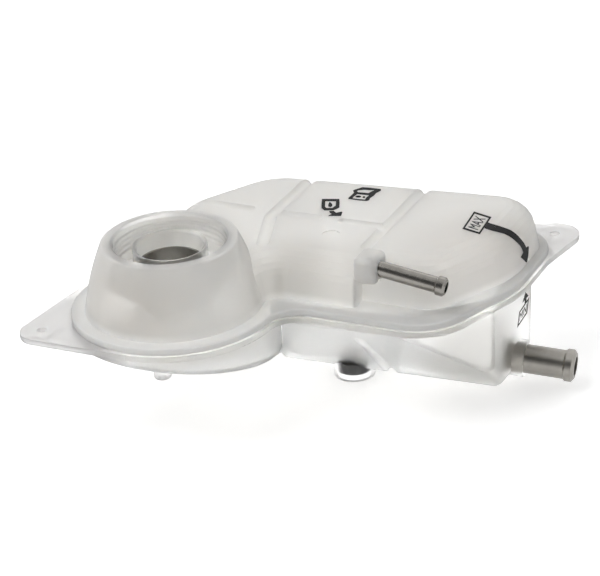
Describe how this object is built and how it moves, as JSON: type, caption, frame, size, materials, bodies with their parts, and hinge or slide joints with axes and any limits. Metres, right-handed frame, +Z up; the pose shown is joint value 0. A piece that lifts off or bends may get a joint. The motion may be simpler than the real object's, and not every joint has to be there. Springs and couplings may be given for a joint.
{
  "type": "coolant expansion tank",
  "caption": "Milky plastic coolant tank of welded shells with a wide threaded filler neck, metal hose nozzles, fixing ears and a level sensor socket.",
  "frame": {"origin": "centre of the filler mouth, level with its rim", "axes": "+Z up along the filler neck, +X along the body towards the outlet nozzle, +Y from the neck into the body"},
  "size_m": [0.2585, 0.2182, 0.106],
  "materials": {
    "shell": "satin, milky translucent",
    "sleeve": "turned",
    "nozzle": "satin",
    "insert": "matt black",
    "pins": "bright"
  },
  "bodies": {
    "root": {"upper_shell": "shell", "lower_shell": "shell", "neck_sleeve": "sleeve", "vent_nozzle": "nozzle", "outlet_nozzle": "nozzle", "sensor_insert": "insert", "sensor_pins": "pins"}
  },
  "joints": []
}
